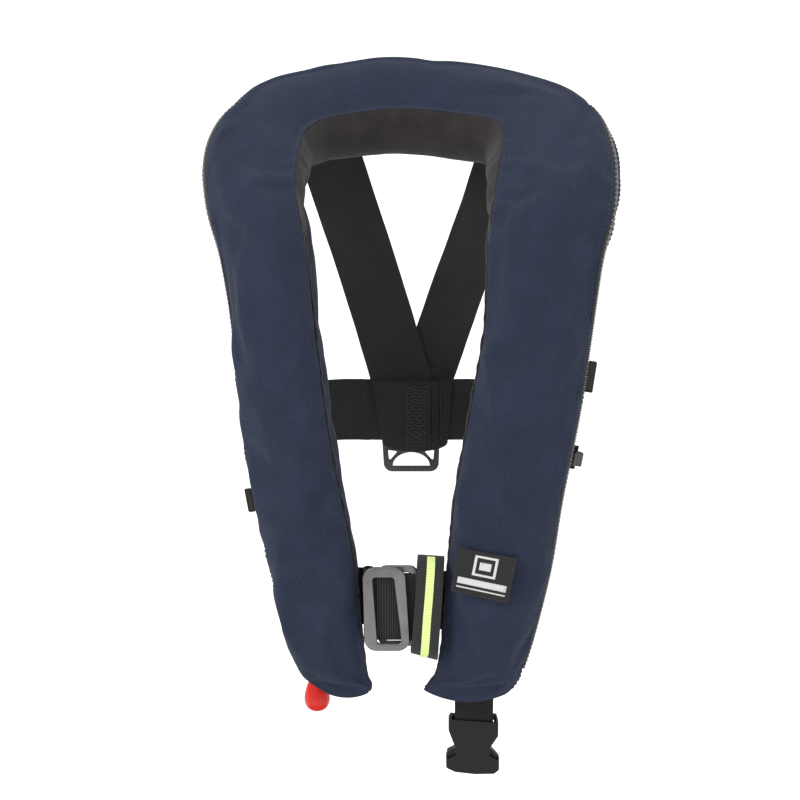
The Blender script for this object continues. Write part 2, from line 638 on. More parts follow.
def simulate(points, pinned):
    """Inflate the closed tube a little, held at its seams, so that the cloth puckers there."""
    count, width = points.shape[:2]
    unit_scale = 0.01  # the simulation runs at ten times life size
    last_frame = 20
    verts = (points.reshape(-1, 3) * unit_scale).tolist()
    faces = [(i * width + j, (i + 1) * width + j, (i + 1) * width + (j + 1) % width,
              i * width + (j + 1) % width) for i in range(count - 1) for j in range(width)]
    faces += [tuple(range(width)), tuple(reversed(range((count - 1) * width, count * width)))]
    data = bpy.data.meshes.new("cover_simulation")
    data.from_pydata(verts, [], faces)
    obj = add_object("cover_simulation", data)
    group = obj.vertex_groups.new(name="seams")
    group.add(np.flatnonzero(pinned.ravel()).tolist(), 1.0, "ADD")
    cloth = obj.modifiers.new("Cloth", "CLOTH")
    settings = cloth.settings
    settings.quality = 6
    settings.mass = 0.3
    settings.tension_stiffness = settings.compression_stiffness = 12
    settings.shear_stiffness = 4
    settings.bending_stiffness = 0.6
    settings.shrink_min = -0.025
    settings.vertex_group_mass = "seams"
    settings.use_pressure = True
    settings.uniform_pressure_force = 0.12
    settings.effector_weights.gravity = 0
    cloth.collision_settings.use_collision = False
    scene = bpy.context.scene
    for f in range(1, last_frame + 1):
        scene.frame_set(f)
    graph = bpy.context.evaluated_depsgraph_get()
    moved = obj.evaluated_get(graph).data
    out = np.empty(len(moved.vertices) * 3)
    moved.vertices.foreach_get("co", out)
    bpy.data.objects.remove(obj, do_unlink=True)
    scene.frame_set(1)
    return out.reshape(points.shape) / unit_scale


def eased(points):
    """Each point moved part of the way to the mean of its neighbours."""
    amount = 0.3
    near = (np.roll(points, 1, 1) + np.roll(points, -1, 1)) / 2
    along = points.copy()
    along[1:-1] = (points[:-2] + points[2:]) / 2
    return points * (1 - amount) + (near + along) * amount / 2


def puffed_cover(rings):
    """Cover points with puckers along the seams."""
    most = 5.0  # mm that any point may move
    rest = cover_points(rings)
    columns = rest.shape[1]
    seams = (0, FRONT_COLUMNS, FRONT_COLUMNS + LINING_COLUMNS, columns - 1)
    pinned = np.zeros(rest.shape[:2], bool)
    pinned[:, seams] = True
    pinned[:2] = pinned[-2:] = True
    start = rest.copy()
    outward = rest - rings["centre"][:, None]
    outward /= np.linalg.norm(outward, axis=2)[:, :, None] + 1e-9
    for i in range(len(rest)):
        for j in range(columns):
            if not pinned[i, j]:
                s, v = rings["s"][i] / 16.0, j / 4.0
                start[i, j] += outward[i, j] * 0.7 * wander(s, v)
    shift = simulate(start, pinned) - rest
    size = np.linalg.norm(shift, axis=2)
    print("cover moved by", size.max().round(2), "mm at most, mean", size.mean().round(2))
    shift *= np.minimum(1.0, most / np.maximum(size, 1e-6))[:, :, None]
    points = rest + shift
    free = ~pinned
    for _ in range(2):
        soft = eased(points)
        points[free] = soft[free]
    return points


# Soft folds on the cover, each: how far round the horseshoe (station number) and across the
# front (0 outer seam, 1 lining edge) it starts and ends, its width in mm, and its height in mm.
FOLDS = [
    ((15.1, 0.62), (16.7, 0.30), 9, 2.2), ((15.2, 0.80), (16.4, 0.56), 8, -2.0),
    ((15.6, 0.35), (16.9, 0.14), 8, -1.6), ((14.3, 0.20), (15.0, 0.55), 12, -1.4),
    ((13.2, 0.15), (13.9, 0.60), 12, 1.2), ((12.3, 0.12), (12.9, 0.50), 11, -1.5),
    ((17.3, 0.25), (18.2, 0.55), 11, -1.8), ((17.9, 0.10), (18.9, 0.40), 12, 1.6),
    ((19.2, 0.75), (20.6, 0.85), 10, -1.5), ((18.6, 0.55), (19.8, 0.72), 12, 1.3),
    ((10.6, 0.75), (11.4, 0.45), 9, -1.5), ((9.6, 0.85), (10.4, 0.55), 8, 1.4),
    ((8.7, 0.75), (9.1, 0.35), 6, -1.2), ((8.2, 0.80), (8.5, 0.40), 6, 1.0),
    ((7.7, 0.85), (8.0, 0.50), 7, -1.0), ((6.4, 0.30), (6.9, 0.70), 14, -1.0),
    ((4.3, 0.20), (4.9, 0.65), 16, 1.0), ((2.2, 0.15), (2.8, 0.70), 10, -1.3),
    ((1.5, 0.70), (2.3, 0.35), 9, 1.2), ((25.6, 0.20), (26.4, 0.70), 11, -1.4),
    ((26.5, 0.75), (27.2, 0.30), 9, 1.3), ((24.0, 0.75), (24.5, 0.35), 14, 0.9),
    ((22.2, 0.70), (22.7, 0.25), 16, -1.0), ((20.9, 0.20), (21.5, 0.60), 16, 1.0),
]
LINING_FOLDS = [
    ((12.8, 0.1), (13.1, 0.9), 7, -1.6), ((13.7, 0.2), (13.5, 0.9), 9, 1.5),
    ((14.9, 0.1), (14.6, 1.0), 9, -1.2), ((15.8, 0.0), (16.0, 0.9), 5, -4.2),
    ((16.15, 0.1), (16.35, 0.9), 6, 3.0), ((16.7, 0.0), (16.9, 0.9), 6, -3.2),
    ((17.3, 0.1), (17.7, 0.8), 7, 1.8), ((18.3, 0.2), (18.6, 0.9), 7, -1.6),
    ((11.7, 0.1), (12.0, 0.9), 7, 1.6), ((10.9, 0.1), (11.2, 0.9), 6, -1.6),
]


def folded(points, folds):
    """Push soft ridges and valleys into a strip of the cover."""
    normals = grid_normals(points)
    rows, columns = points.shape[:2]
    out = points.copy()
    across = np.linspace(0, 1, columns)
    edge_fade = np.clip(np.minimum(across, 1 - across) / 0.06, 0, 1)
    for (s0, v0), (s1, v1), wide, high in folds:
        a = points[int(np.clip(s0 * RINGS, 0, rows - 1)), int(v0 * (columns - 1))]
        b = points[int(np.clip(s1 * RINGS, 0, rows - 1)), int(v1 * (columns - 1))]
        d = b - a
        t = ((points - a) @ d) / (d @ d)
        near = np.clip(t, 0, 1)
        away = np.linalg.norm(points - (a + near[..., None] * d), axis=2)
        taper = np.sin(np.pi * np.clip(0.12 + 0.76 * near, 0, 1))
        push = high * np.exp(-((away / wide) ** 2) * 1.6) * taper * edge_fade[None, :]
        out += normals * push[..., None]
    return out


def cloth_piece(name, points, s, mat, node, thickness=CLOTH):
    """A strip of the cover as padded cloth, its faces turned away from the inside."""
    steps = np.linalg.norm(np.diff(points, axis=1), axis=2)
    across = np.concatenate([np.zeros((len(points), 1)), np.cumsum(steps, axis=1)], axis=1)
    piece = grid_piece(name, points, s, across, mat)
    ring = points[len(points) // 2]
    inside = Vector((ring[0] + ring[-1]) / 2 * 0.9 + ring.mean(0) * 0.1) * MM
    with editing(piece.data) as bm:
        bm.normal_update()
        bm.faces.ensure_lookup_table()
        middle = bm.faces[len(bm.faces) // 2 + (points.shape[1] - 1) // 2]
        if middle.normal.dot(middle.calc_center_median() - inside) < 0:
            bmesh.ops.reverse_faces(bm, faces=bm.faces)
    thicken(piece, thickness, -1.0)
    finish_piece(piece, ROOT, [node])


def cover(rings, paint):
    """Front, back and collar lining; gives back the front, the back and all the points."""
    points = puffed_cover(rings)
    s = rings["s"]
    f, b = FRONT_COLUMNS, FRONT_COLUMNS + LINING_COLUMNS
    front, back = folded(points[:, : f + 1], FOLDS), points[:, b:]
    cloth_piece("front_cover_cloth", front, s, paint["navy"], "cover_front")
    cloth_piece("back_cover_cloth", back, s, paint["navy_back"], "cover_back")
    first, last = LINING_FIRST * RINGS - 4, LINING_LAST * RINGS + 8
    from_first = [((a[0] - first / RINGS, a[1]), (c[0] - first / RINGS, c[1]), wide, 1.5 * high)
                  for a, c, wide, high in LINING_FOLDS]
    lining = folded(points[first:last, f : b + 1], from_first)
    cloth_piece("collar_lining_cloth", lining, s[first:last], paint["lining"],
                "neck_lining", 1.2)
    return front, back, points


# ---------------------------------------------------------------- zip, stitches, piping
def stitches(name, runs, mat, length=3.0, gap=1.5, radius=0.32):
    """Runs of stitches as one piece. Each run is a line and the normals that it lies on."""
    verts, faces, sides = [], [], 5
    # Each stitch's profile: how far along it, and its radius there.
    profile = ((0.0, 0.35), (0.18, 0.95), (0.5, 1.1), (0.82, 0.95), (1.0, 0.35))
    for line, normal in runs:
        line, normal = np.array(line, float), np.array(normal, float)
        s = lengths(line)
        at = 0.6
        while at + length < s[-1]:
            ends = [np.array([np.interp(at + d, s, line[:, k]) for k in range(3)])
                    for d in (0, length)]
            n = unit([np.interp(at + length / 2, s, normal[:, k]) for k in range(3)])
            along = unit(ends[1] - ends[0])
            side = np.cross(along, n)
            start = len(verts)
            for t, r in profile:
                dip = (math.sin(math.pi * t) - 0.75) * radius * 0.9
                centre = ends[0] + (ends[1] - ends[0]) * t + n * dip
                for k in range(sides):
                    a = 2 * math.pi * k / sides
                    verts.append(centre + (side * math.cos(a) + n * math.sin(a)) * radius * r)
            for i in range(len(profile) - 1):
                for k in range(sides):
                    k2 = (k + 1) % sides
                    faces.append((start + i * sides + k, start + i * sides + k2,
                                  start + (i + 1) * sides + k2, start + (i + 1) * sides + k))
            faces.append(tuple(start + k for k in reversed(range(sides))))
            top = start + (len(profile) - 1) * sides
            faces.append(tuple(top + k for k in range(sides)))
            at += length + gap
    made = mesh_object(name, verts, faces, mat)
    made.data.shade_smooth()
    return finish_piece(made)


def surface_line(grid, column, first, last):
    """The line of a grid at a fractional column, raised off the surface, and its normals."""
    lift = 0.25
    normals = grid_normals(grid)
    low = int(math.floor(column))
    t = column - low
    line, n = (a[first:last, low] * (1 - t) + a[first:last, low + 1] * t
               for a in (grid, normals))
    return line + n * lift, n


def zip_frame(rings):
    """Where the zip runs: points between the cover edges, outward, and across the zip."""
    front, back = (np.array([section(rings, i, turn + side * reach)
                             for i, (turn, reach) in enumerate(zip(rings["turn"], rings["reach"]))])
                   for side in (1, -1))
    across = unit_rows(front - back)
    out = unit_rows(np.cross(across, rings["along"]))
    middle = (front + back) / 2
    out *= np.sign((out * (middle - rings["centre"])).sum(1))[:, None]
    return middle, out, across, np.linalg.norm(front - back, axis=1) / 2


def zipper(rings, paint):
    """Knitted tapes from either cover edge to a row of separate moulded teeth."""
    run = slice(2 * RINGS, -2 * RINGS)
    middle, out, across, half = (a[run] for a in zip_frame(rings))
    s, along = rings["s"][run], rings["along"][run]
    rows = []
    for i in range(len(s)):
        h = max(half[i], 2.2)
        right_side = [(1.2, 0.9), (h * 0.6, 0.5), (h, -0.6), (h + 1.2, -1.6)]
        profile = [(-d, o) for d, o in reversed(right_side)] + right_side
        wave = 0.4 * wander(s[i] / 11.0, seed=3)
        rows.append([middle[i] + across[i] * (d + wave) + out[i] * o for d, o in profile])
    tape = grid_piece("zip_tape_knitted", rows, s, np.linspace(0, 9, 8), paint["tape"])
    thicken(tape, 0.8)
    finish_piece(tape, ROOT, ["zip_tape"])
    verts, faces = [], []
    for k, at in enumerate(np.arange(0, s[-1] - s[0], TOOTH_PITCH) + s[0]):
        i = int(np.argmin(np.abs(s - at)))
        centre = np.array([np.interp(at, s, middle[:, axis]) for axis in range(3)])
        shift = TOOTH_SHIFT if k % 2 else -TOOTH_SHIFT
        start = len(verts)
        for lift, slim in ((0.6, 1.0), (TOOTH_HEIGHT, 0.72)):
            for side, ahead in ((-1, -1), (1, -1), (1, 1), (-1, 1)):
                verts.append(centre + across[i] * (side * TOOTH_HALF * slim + shift)
                             + along[i] * ahead * 0.62 * slim + out[i] * lift)
        for quad in ((0, 1, 2, 3), (7, 6, 5, 4), (0, 4, 5, 1), (1, 5, 6, 2), (2, 6, 7, 3),
                     (3, 7, 4, 0)):
            faces.append(tuple(start + q for q in quad))
    teeth = mesh_object("zip_teeth_row", verts, faces, paint["zip"])
    with editing(teeth.data) as bm:
        bmesh.ops.recalc_face_normals(bm, faces=bm.faces)
    edge = teeth.modifiers.new("Edges", "BEVEL")
    edge.width, edge.segments = 0.2 * MM, 1
    finish_piece(teeth, ROOT, ["zip_teeth"])


def seam_details(front, back, points, paint):
    """Top stitching beside the zip and the lining, and a thin rolled edge on the inner seam."""
    first, last = LINING_FIRST * RINGS + 2, LINING_LAST * RINGS + 2
    runs = [surface_line(front, 1.5, 4, -4), surface_line(back, BACK_COLUMNS - 1.2, 4, -4),
            surface_line(front, FRONT_COLUMNS - 1.2, first, last)]
    stitches("cover_top_stitching", runs, paint["thread_navy"])
    inner = points[:, FRONT_COLUMNS + LINING_COLUMNS // 2]
    rolls = [tube("edge", even_points(inner[a:b], 3.0), 1.15, paint["tape"], 8)
             for a, b in ((3, first), (LINING_LAST * RINGS, len(inner) - 3))]
    finish_piece(join("inner_seam_binding", rolls))


def tube(name, line, radius, mat, sides=10):
    """A round tube along the line, closed at both ends."""
    line = np.array(line, float)
    t = tangents(line)
    normal = np.cross(t[0], (0.31, 0.52, 0.79))
    normal /= np.linalg.norm(normal)
    angles = np.linspace(0, 2 * math.pi, sides, endpoint=False)
    rows = []
    for i in range(len(line)):
        normal = normal - t[i] * normal.dot(t[i])
        normal /= np.linalg.norm(normal)
        other = np.cross(t[i], normal)
        rows.append([line[i] + (normal * math.cos(a) + other * math.sin(a)) * radius
                     for a in angles])
    across = np.linspace(0, 2 * math.pi * radius, sides + 1)
    obj = grid_piece(name, rows, lengths(line), across, mat, wrap_columns=True)
    with editing(obj.data) as bm:
        bm.verts.ensure_lookup_table()
        last = (len(line) - 1) * sides
        bm.faces.new([bm.verts[k] for k in reversed(range(sides))])
        bm.faces.new([bm.verts[last + k] for k in range(sides)])
        bmesh.ops.recalc_face_normals(bm, faces=bm.faces)
    return obj


# ---------------------------------------------------------------- webbing
def ribbon_frame(line, up):
    """Across and normal directions of a strip whose width stays near up."""
    t = tangents(line)
    across = np.tile(unit(up), (len(line), 1))
    across -= t * (across * t).sum(1)[:, None]
    across /= np.linalg.norm(across, axis=1)[:, None]
    return across, np.cross(t, across)


def ribbon(name, line, width, mat, up=(0, 0, 1), thickness=WEB, cup=0.0, wave=0.5, seed=1.0,
           columns=15, closed=True, creases=()):
    """Webbing along a line in mm, slightly cupped and wavy, with firm rounded selvedges.

    creases are (distance along, width, height, slant) ridges right across it.
    """
    line = np.array(line, float)
    across, normal = closed_frame(line, up) if closed else ribbon_frame(line, up)
    s = lengths(line)
    share = np.sin(np.linspace(-1, 1, columns) * math.pi / 2)
    rows = []
    for i in range(len(line)):
        row = []
        for v in share:
            lift = cup * (v * v - 0.4) + wave * wander(s[i] / 38.0, v * 1.2, seed=seed)
            lift += 0.12 * wander(s[i] / 7.0, v * 4.0, seed=seed + 5)
            for at, spread, high, slant in creases:
                lift += high * math.exp(-(((s[i] - at - slant * v) / spread) ** 2))
            edge = width / 2 * v + 0.35 * wander(s[i] / 25.0, seed=seed + 2) * abs(v)
            row.append(line[i] + across[i] * edge + normal[i] * lift)
        rows.append(row)
    along = s if not closed else np.append(s, s[-1] + np.linalg.norm(line[0] - line[-1]))
    strip = grid_piece(name, rows, along, share * width / 2, mat, wrap_rows=closed)
    return thicken(strip, thickness)


def closed_frame(line, axis):
    """Directions for a closed strip whose width lies along one axis."""
    t = np.roll(line, -1, 0) - np.roll(line, 1, 0)
    t /= np.linalg.norm(t, axis=1)[:, None]
    across = np.tile(unit(axis), (len(line), 1))
    return across, np.cross(t, across)


def stadium(start, end, radius, axis, turns=12, straight=9):
    """Closed line round two points, radius from the line between them."""
    a, b = np.array(start, float), np.array(end, float)
    axis, along = unit(axis), unit(b - a)
    side = np.cross(axis, along)
    out = []
    for centre, other, turn in ((b, a, 0.0), (a, b, math.pi)):
        for k in range(turns + 1):
            angle = turn - math.pi / 2 + math.pi * k / turns
            out.append(centre + (along * math.cos(angle) + side * math.sin(angle)) * radius)
        last = out[-1]
        step = (other - centre) / straight
        out += [last + step * k for k in range(1, straight)]
    return np.array(out)


def harness(paint):
    """Waist belt and back straps: name, route, width, seed, and creases across the strip."""
    belts = (
        ("waist_belt_back", BELT_BACK, BACK_BELT_WIDTH, 0.0,
         [(85, 2.6, -0.9, 1.0), (91, 2.2, 0.8, -1.0), (97, 2.4, -0.7, 1.5), (159, 3.0, 0.7, 2.0)]),
        ("waist_belt_left", BELT_LEFT, BELT_WIDTH, 1.0, []),
        ("waist_belt_right", BELT_RIGHT, BELT_WIDTH, 2.0, []),
    )
    straps = (
        ("back_strap_left", STRAP_LEFT, STRAP_WIDTH, 4.0, []),
        ("back_strap_right", STRAP_RIGHT, RIGHT_STRAP_WIDTH, 5.0,
         [(257, 2.2, 1.2, 7.0), (264, 2.0, -1.0, 5.0), (271, 2.2, 1.3, 3.0)]),
    )
    for strips, spans, spacing, up, thickness, cup, wave in (
        (belts, 8, 3.2, (0, 0, 1), WEB, 0.3, 0.35), (straps, 6, 2.4, (1, 0, 0), 1.5, 0.5, 0.7),
    ):
        for node, route, width, seed, creases in strips:
            line = even_points(smooth_points(route, spans), spacing)
            strip = ribbon(f"{node}_web", line, width, paint["web"], up, thickness, cup, wave,
                           seed, closed=False, creases=creases)
            finish_piece(strip, ROOT, [node])


# ---------------------------------------------------------------- outlines with holes
def rounded(points, radius, steps=8):
    """Corner points with each corner turned into an arc of the given radius."""
    out = []
    points = [Vector(p) for p in points]
    for before, p, after in zip(points[-1:] + points, points, points[1:] + points):
        a = (before - p).normalized()
        b = (after - p).normalized()
        half = a.angle(b) / 2
        reach = radius / math.tan(half)
        centre = p + (a + b).normalized() * radius / math.sin(half)
        first, last = p + a * reach - centre, p + b * reach - centre
        for k in range(steps + 1):
            mix = first.lerp(last, k / steps).normalized() * radius
            out.append(centre + mix)
    return out


def rectangle(x0, x1, z0, z1):
    """The corners of an upright rectangle."""
    return [(x0, z0), (x1, z0), (x1, z1), (x0, z1)]


def plate(name, outlines, y, thickness, mat, edge=0.5, resolution=4):
    """A plate standing in an XZ plane at y; the first outline is outer, the rest are holes."""
    curve = bpy.data.curves.new(name, "CURVE")
    curve.dimensions = "2D"
    curve.fill_mode = "BOTH"
    curve.extrude = (thickness / 2 - edge) * MM
    curve.bevel_depth = edge * MM
    curve.bevel_resolution = resolution
    curve.offset = -edge * MM
    for outline in outlines:
        spline = curve.splines.new("POLY")
        spline.points.add(len(outline) - 1)
        for point, (x, z) in zip(spline.points, outline):
            point.co = (x * MM, z * MM, 0.0, 1.0)
        spline.use_cyclic_u = True
    obj = add_object(name, curve, mat)
    obj.matrix_world = Matrix.Translation((0, y * MM, 0)) @ Matrix.Rotation(math.pi / 2, 4, "X")
    obj = applied(obj)
    with editing(obj.data) as bm:
        bmesh.ops.remove_doubles(bm, verts=bm.verts, dist=2e-6)
    return smooth_shading(obj, 35)


def front_buckle(paint):
    """Outer frame on its bar, inner frame, and the belt ends looped round bar and inner frame."""
    metal_paint, middle = paint["buckle"], (FRAME_TOP + FRAME_BOTTOM) / 2
    outline = [rounded(OUTER_FRAME, 10), rounded(OUTER_WINDOW, 2.5)]
    outer = plate("buckle_frame_outer", outline, OUTER_FRAME_Y, 3.6, metal_paint, 1.25)
    finish_piece(outer, "outer_frame", ["buckle_outer_frame"])
    line = [(*BAR_AXIS, middle + z) for z in np.linspace(-31, 31, 14)]
    bar = tube("buckle_bar_round", line, BAR_RADIUS, metal_paint, 20)
    finish_piece(smooth_shading(bar, 50), "outer_frame", ["buckle_bar"])
    x0, x1 = INNER_FRAME_X
    outline = [rounded(rectangle(x0, x1, FRAME_BOTTOM + 2, FRAME_TOP - 0.5), 7),
               rounded(rectangle(x0 + 6, x1 - 6, FRAME_BOTTOM + 6.5, FRAME_TOP - 6.5), 2.5)]
    inner = plate("buckle_frame_inner", outline, INNER_FRAME_Y, 3.2, metal_paint, 1.1)
    finish_piece(inner, "inner_frame", ["buckle_inner_frame"])
    left = stadium((*BAR_AXIS, middle), (BAR_AXIS[0] - 0.5, BAR_AXIS[1] + 23, middle),
                   BAR_RADIUS + 0.5 + WEB / 2, (0, 0, 1))
    right = stadium((x0 + 0.2, INNER_FRAME_Y, middle), (24, INNER_FRAME_Y, middle),
                    1.6 + 0.6 + WEB / 2, (0, 0, 1))
    for side, line, mat, wave in (("left", left, "web", 0.1), ("right", right, "ribbed", 0.35)):
        strip = ribbon(f"belt_end_{side}_web", line, BELT_END_WIDTH, paint[mat], wave=wave)
        finish_piece(strip, ROOT, [f"belt_end_{side}"])


def soft_loop(paint):
    """The ribbed keeper loop, leaning a little, with a neon stripe down its front."""
    lean = math.radians(3.9)
    tilt = np.array((math.sin(lean), 0, math.cos(lean)))
    across = np.array((math.cos(lean), 0, -math.sin(lean)))
    centre = np.array((18.7, -157.4, -374.5))
    half, radius, droop = 27.0, 16.0, 2.3 / 11.0
    line = stadium(centre - tilt * half, centre + tilt * half, radius, across, 18, 14)
    strip = ribbon("keeper_loop_web", line, 22.5, paint["loop"], across, 1.6, 0.0, 0.25)
    for v in strip.data.vertices:
        where = np.array(v.co) / MM - centre
        below = np.clip(-(where @ tilt) / half, 0.0, 1.0)
        v.co.z -= droop * (where @ across) * below * MM
    finish_piece(strip, "keeper_loop", ["soft_loop"])
    path = line[line[:, 1] - centre[1] < -2.0]
    high = (path - centre) @ tilt
    path, high = path[np.argsort(high)], np.sort(high)
    past_end = np.copysign(np.clip(np.abs(high) - half, 0, None), high)
    out = unit_rows(path - centre - np.outer(high - past_end, tilt))
    stripe = ribbon("keeper_loop_stripe_weave", even_points(path + out * 1.05, 2.0), 6.8,
                    paint["neon"], across, 0.6, 0.0, 0.0, columns=7, closed=False)
    finish_piece(stripe, "keeper_loop", ["soft_loop_stripe"])


def back_ring(paint):
    """The coated harness ring with its strap slot, half moon and corner holes, and its loop."""
    top, low = -275.5, -318.0
    outer = rounded([(-19, low), (31.2, low), (32.5, top), (-21.7, top)], 8)
    slot = rounded([(-17, top - 5), (-16.4, -293.5), (-6, -295.3), (5, -296), (17, -295.3),
                    (27.3, -293.5), (28, top - 5)], 1.2, 4)
    middle, floor = 6.0, -312.7
    moon = [(middle + 17 * math.cos(math.pi * k / 24), floor + 12.9 * math.sin(math.pi * k / 24))
            for k in range(25)]
    left = rounded([(-15.4, -297.7), (-6.6, -299.0), (-14.3, -308.0)], 0.8, 3)
    right = rounded([(18.0, -299.0), (27.0, -297.7), (26.2, -308.0)], 0.8, 3)
    ring = plate("harness_ring", [outer, slot, moon, left, right], RING_AXIS.y, 3.4, paint["ring"],
                 0.8)
    finish_piece(ring, "ring", ["back_ring"])
    line = stadium(RING_AXIS, RING_AXIS + Vector((0, 0, 28)), 3.9 + 0.5, (1, 0, 0))
    strip = ribbon("ring_loop_web", line, 36, paint["web"], (1, 0, 0), 1.4, 0.0, 0.15)
    finish_piece(strip, ROOT, ["ring_loop"])


def sewn_panel(name, node, outline, y, mat, bulge, creases=(), columns=26):
    """A flat cloth panel in an XZ plane with soft rolled edges and creases."""
    outline = [Vector(p) for p in outline]
    count, z0, z1 = 28, min(p.y for p in outline), max(p.y for p in outline)
    heights = [z1 + (z0 - z1) * i / count for i in range(count + 1)]
    rows = []
    for i, z in enumerate(heights):
        left, right = chord(outline, min(max(z, z0 + 0.05), z1 - 0.05))
        row = []
        for j in range(columns + 1):
            u = j / columns
            x = left + (right - left) * (0.5 - 0.5 * math.cos(math.pi * u))
            lift = bulge * (1 - (2 * u - 1) ** 4) * (1 - (2 * i / count - 1) ** 6)
            lift += 0.35 * wander(x / 14.0, z / 14.0, seed=9)
            for cx, cz, wide, high, tall in creases:
                lift += high * math.exp(-((x - cx) / wide) ** 2 - ((z - cz) / tall) ** 2)
            row.append((x, y - lift, z))
        rows.append(row)
    panel = grid_piece(name, rows, heights, np.array(rows)[:, :, 0], mat)
    finish_piece(thicken(panel, 1.3), ROOT, [node])


def chord(outline, z):
    """Left and right x of a convex outline at a height."""
    found = []
    for p, q in zip(outline, outline[1:] + outline[:1]):
        if (p.y - z) * (q.y - z) <= 0 and abs(p.y - q.y) > 1e-9:
            found.append(p.x + (q.x - p.x) * (z - p.y) / (q.y - p.y))
    return min(found), max(found)


def keeper(paint):
    """Pleated front and plain rear panel where straps and belt cross, with zigzag rows."""
    top, low, front_y, rear_y = -230.0, -290.0, 76.6, 84.9
    outline = [(-30, top), (43, top), (38.5, low), (28, low - 4), (9, low - 6),
               (-9, low - 4), (-19.5, low)]
    # Pleats: x, z, width, height and length.
    pleats = [(22.6, -262, 1.2, 1.7, 34), (26.2, -258, 1.1, 1.9, 30), (29.6, -262, 1.1, 1.5, 32),
              (33.4, -256, 1.2, 1.8, 26), (37.0, -252, 1.1, 1.2, 20), (24.4, -260, 0.9, -0.9, 32),
              (31.4, -260, 0.9, -0.8, 28), (-18.0, -250, 7.0, 0.5, 22)]
    sewn_panel("keeper_front_web", "keeper_front", outline, front_y, paint["web"], 0.5, pleats,
               120)
    sewn_panel("keeper_rear_web", "keeper_rear", outline, rear_y, paint["web"], -0.5)
    runs = []
    for k in range(19):
        start = 1.0 + 0.8 * wander(k / 2.0, seed=31)
        line = []
        for i in range(25):
            x = start + 0.8 * i
            wave = 1.1 * math.sin(2 * math.pi * (x + 1.6 * (k % 2)) / 7.5)
            line.append((x, front_y - 1.35 - 0.15 * wave, -235.5 - 3.0 * k + wave))
        runs.append((line, [(0, -1, 0)] * len(line)))
    stitches("keeper_zigzag_stitching", runs, paint["thread_grey"], 2.6, 0.5, 0.42)


# ---------------------------------------------------------------- turned and moulded parts
def turned(name, profile, base, mat):
    """A solid of revolution from (radius, height) points, smoothed, standing on base."""
    steps = 48
    points = smooth_points([(r, 0.0, h) for r, h in profile], 8)
    points[:, 0] = np.maximum(points[:, 0], 0.0)
    angles = [2 * math.pi * k / steps for k in range(steps)]
    rows = [[(base[0] + r * math.cos(a), base[1] + r * math.sin(a), base[2] + h) for a in angles]
            for r, _, h in points]
    across = np.linspace(0, 2 * math.pi * points[:, 0].max(), steps + 1)
    obj = grid_piece(name, rows, lengths(points), across, mat, wrap_columns=True)
    with editing(obj.data) as bm:
        bmesh.ops.remove_doubles(bm, verts=bm.verts, dist=2e-6)
        bmesh.ops.recalc_face_normals(bm, faces=bm.faces)
    return smooth_shading(obj, 60)


def toggle(paint):
    """The handle, its lanyard from inside the cover, and the eyelet that it passes through."""
    profile = [(0, -40.5), (3.2, -40.2), (6.6, -38.7), (9.4, -35.8), (10.9, -31.4), (10.8, -26),
               (9.4, -19.8), (7.3, -13.8), (5.5, -8.2), (4.3, -3.7), (3.4, -0.9), (1.6, -0.1),
               (0, 0)]
    body = turned("toggle_handle", profile, TOGGLE_TOP, paint["red"])
    finish_piece(body, "toggle", ["pull_toggle"])
    fixed = LANYARD_HOLE + Vector((0, 1.5, -0.3))
    route = [LANYARD_HOLE + Vector((0, -6, 1)), fixed, LANYARD_HOLE + Vector((1, 7, -6)),
             TOGGLE_TOP + Vector((0, 0, 8)), TOGGLE_TOP + Vector((0, 0, 0.6))]
    line = even_points(smooth_points(route, 8), 1.2)
    cord = tube("pull_lanyard_cord", line, LANYARD_RADIUS, paint["cord"])
    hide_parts("pull_lanyard")
    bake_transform(cord)
    bpy.ops.mesh.primitive_torus_add(major_radius=3.4 * MM, minor_radius=0.85 * MM,
                                     major_segments=40, minor_segments=14,
                                     location=LANYARD_HOLE * MM, rotation=(math.pi / 2, 0, 0))
    eyelet = bpy.context.object
    eyelet.name = eyelet.data.name = "lanyard_eyelet_ring"
    eyelet.data.materials.append(paint["brass"])
    eyelet.data.shade_smooth()
    finish_piece(eyelet, ROOT, ["lanyard_eyelet"])


def cutter_box(centre, size, lean=0.0):
    """A box to cut with, turned by lean degrees in its XZ plane."""
    bpy.ops.mesh.primitive_cube_add(size=1, location=Vector(centre) * MM,
                                    rotation=(0, math.radians(lean), 0))
    obj = bpy.context.object
    obj.scale = Vector(size) * MM
    bpy.ops.object.transform_apply(location=False, rotation=False, scale=True)
    return obj


def cut(obj, *cutters):
    """The object with the cutters taken out of it."""
    for cutter in cutters:
        mod = obj.modifiers.new("Cut", "BOOLEAN")
        mod.operation = "DIFFERENCE"
        mod.solver = "EXACT"
        mod.object = cutter
    made = applied(obj)
    for cutter in cutters:
        bpy.data.objects.remove(cutter, do_unlink=True)
    return made


